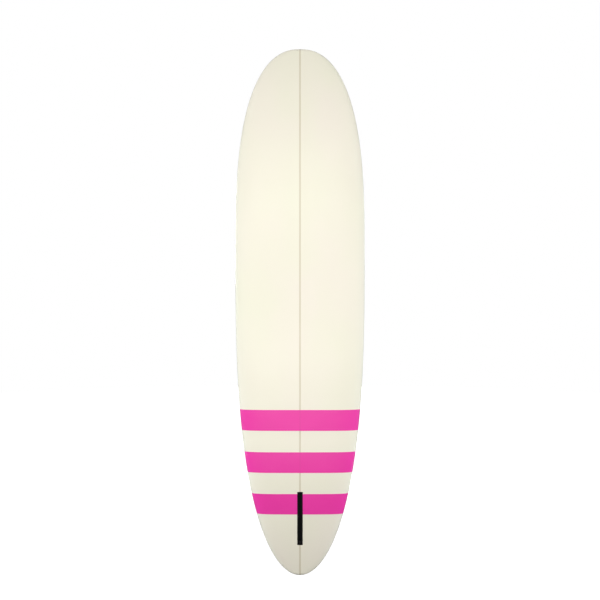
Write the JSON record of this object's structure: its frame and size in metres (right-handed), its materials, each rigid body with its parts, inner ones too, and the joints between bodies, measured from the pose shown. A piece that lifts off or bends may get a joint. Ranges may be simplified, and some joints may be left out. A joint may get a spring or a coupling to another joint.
{
  "type": "longboard surfboard",
  "caption": "Round-nosed longboard surfboard with a timber stringer, glassed foam blank, colour bands, centre fin box with sliding plate, and leash plug.",
  "frame": {"origin": "the tail tip, on the centre line; the board is stored standing on its tail, as in an upright rack", "axes": "+Z from the tail tip towards the nose, +Y out of the bottom, -Y out of the deck, +X to the right of someone who faces the deck"},
  "size_m": [0.6254, 0.1566, 2.5904],
  "materials": {
    "foam": "matte",
    "timber": "matte",
    "bottom_glass": "gloss",
    "deck_glass": "gloss",
    "inner_glass": "satin",
    "colour_band": "gloss",
    "box_plastic": "satin",
    "cast_resin": "satin",
    "plate_metal": "satin",
    "pin_metal": "satin",
    "plug_plastic": "satin"
  },
  "bodies": {
    "board": {"foam_left": "foam", "foam_right": "foam", "stringer": "timber", "bottom_laminate": "bottom_glass", "deck_laminate": "deck_glass", "deck_inner_cloth": "inner_glass", "rear_colour_band": "colour_band", "middle_colour_band": "colour_band", "front_colour_band": "colour_band", "fin_box": "box_plastic", "fin_box_resin": "cast_resin", "leash_cup": "plug_plastic", "leash_pin": "pin_metal", "leash_plug_resin": "cast_resin"},
    "sliding_plate": {"fin_plate": "plate_metal"}
  },
  "joints": [
    {"name": "fin_plate_slide", "type": "slide", "parent": "board", "child": "sliding_plate", "axis": [0, 0.1129, 0.9936], "range_m": [0, 0.241]}
  ]
}
